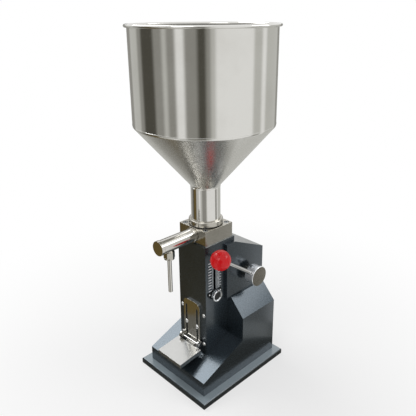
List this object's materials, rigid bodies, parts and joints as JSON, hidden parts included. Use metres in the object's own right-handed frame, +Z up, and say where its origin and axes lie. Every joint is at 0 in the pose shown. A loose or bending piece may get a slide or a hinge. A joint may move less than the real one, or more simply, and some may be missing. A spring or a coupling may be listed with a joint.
{
  "type": "manual paste filling machine",
  "caption": "Manual paste filling machine with a stainless bowl, rack piston driven by a side lever, adjustable volume stop, front spout and fold-up tray.",
  "frame": {"origin": "middle of the base plate's underside", "axes": "+Z up, +X towards the lever and volume scale, -Y front with spout and tray"},
  "size_m": [0.2774, 0.2774, 0.7174],
  "materials": {
    "body_paint": "semi-gloss anthracite",
    "base_paint": "black satin",
    "zinc": "zinc plated",
    "stainless": "bright stainless",
    "bright_bezel": "satin",
    "turned_stainless": "turned and polished stainless",
    "block_steel": "machined stainless",
    "black_rubber": "matte",
    "bowl_sheet": "polished stainless sheet",
    "bronze": "turned bronze",
    "gear_steel": "cut steel, oiled",
    "rod_chrome": "chrome plated",
    "red_plastic": "gloss red"
  },
  "bodies": {
    "frame": {"base_plate": "base_paint", "base_screws": "zinc", "lower_body": "body_paint", "column": "body_paint", "front_panel": "body_paint", "front_panel_screws": "stainless", "upper_rear_cover": "body_paint", "cover_screws": "zinc", "slot_bezel": "bright_bezel", "cylinder": "turned_stainless", "cylinder_screws": "zinc", "valve_block": "block_steel", "valve_block_screws": "zinc", "inlet_cage": "stainless", "neck_gasket": "black_rubber", "neck_ring": "turned_stainless", "hopper_neck": "bowl_sheet", "hopper_cone": "bowl_sheet", "hopper_wall": "bowl_sheet", "outlet_tube": "turned_stainless", "outlet_collar": "turned_stainless", "outlet_seat": "stainless", "outlet_spring": "stainless", "outlet_end_cap": "turned_stainless", "outlet_nut": "block_steel", "nozzle_seal": "black_rubber", "nozzle": "turned_stainless", "guide_plate": "base_paint", "guide_bush": "bronze", "gear_frame": "base_paint", "frame_screws": "zinc", "shaft_bushes": "bronze", "idler_pin": "turned_stainless", "bracket_screws": "stainless"},
    "lever": {"lever_shaft": "turned_stainless", "shaft_key": "zinc", "shaft_clip": "zinc", "drive_gear": "gear_steel", "shaft_collar": "block_steel", "lever_hub": "block_steel", "hub_set_screw": "block_steel", "lever_rod": "rod_chrome", "lever_ball": "red_plastic"},
    "idler": {"idler_gear": "gear_steel"},
    "piston": {"piston": "turned_stainless", "piston_seals": "black_rubber", "piston_rod": "turned_stainless", "crosshead": "zinc", "stop_rod": "turned_stainless"},
    "volume_stop": {"stop_block": "zinc", "volume_stud": "stainless", "volume_pointer": "block_steel", "pointer_rivets": "stainless", "volume_washer": "stainless"},
    "clamp_knob": {"volume_knob": "bright_bezel"},
    "inlet_valve": {"inlet_ball": "stainless"},
    "outlet_valve": {"outlet_ball": "stainless"},
    "bracket": {"tray_bracket": "bowl_sheet", "tray_hinge_pin": "stainless"},
    "tray": {"tray": "bowl_sheet"}
  },
  "joints": [
    {"name": "lever_swing", "type": "hinge", "parent": "frame", "child": "lever", "pos_m": [0, 0.0603, 0.2155], "axis": [1, 0, 0], "range_deg": [-34, 74]},
    {"name": "idler_spin", "type": "hinge", "parent": "frame", "child": "idler", "pos_m": [0, 0.0156, 0.18013], "axis": [1, 0, 0], "range_deg": [-103, 48]},
    {"name": "piston_slide", "type": "slide", "parent": "frame", "child": "piston", "axis": [0, 0, 1], "range_m": [-0.0197, 0.0428]},
    {"name": "volume_adjust", "type": "slide", "parent": "frame", "child": "volume_stop", "axis": [0, 0, 1], "range_m": [0, 0.0622]},
    {"name": "volume_knob_turn", "type": "hinge", "parent": "volume_stop", "child": "clamp_knob", "pos_m": [0.045, -0.0318, 0.196], "axis": [1, 0, 0], "continuous": true},
    {"name": "inlet_ball_lift", "type": "slide", "parent": "frame", "child": "inlet_valve", "axis": [0, 0, 1], "range_m": [0, 0.0065]},
    {"name": "outlet_ball_lift", "type": "slide", "parent": "frame", "child": "outlet_valve", "axis": [0, -1, 0], "range_m": [0, 0.006], "stiffness_N_per_m": 200, "springref_m": -0.004, "deforming": ["outlet_spring"]},
    {"name": "tray_height", "type": "slide", "parent": "frame", "child": "bracket", "axis": [0, 0, 1], "range_m": [-0.008, 0.035]},
    {"name": "tray_fold", "type": "hinge", "parent": "bracket", "child": "tray", "pos_m": [0, -0.065, 0.083], "axis": [-1, 0, 0], "range_deg": [0, 88]}
  ],
  "couplings": [
    {"joint": "idler_spin", "follows": "lever_swing", "ratio": -1.375},
    {"joint": "piston_slide", "follows": "lever_swing", "m_per_rad": 0.033}
  ]
}
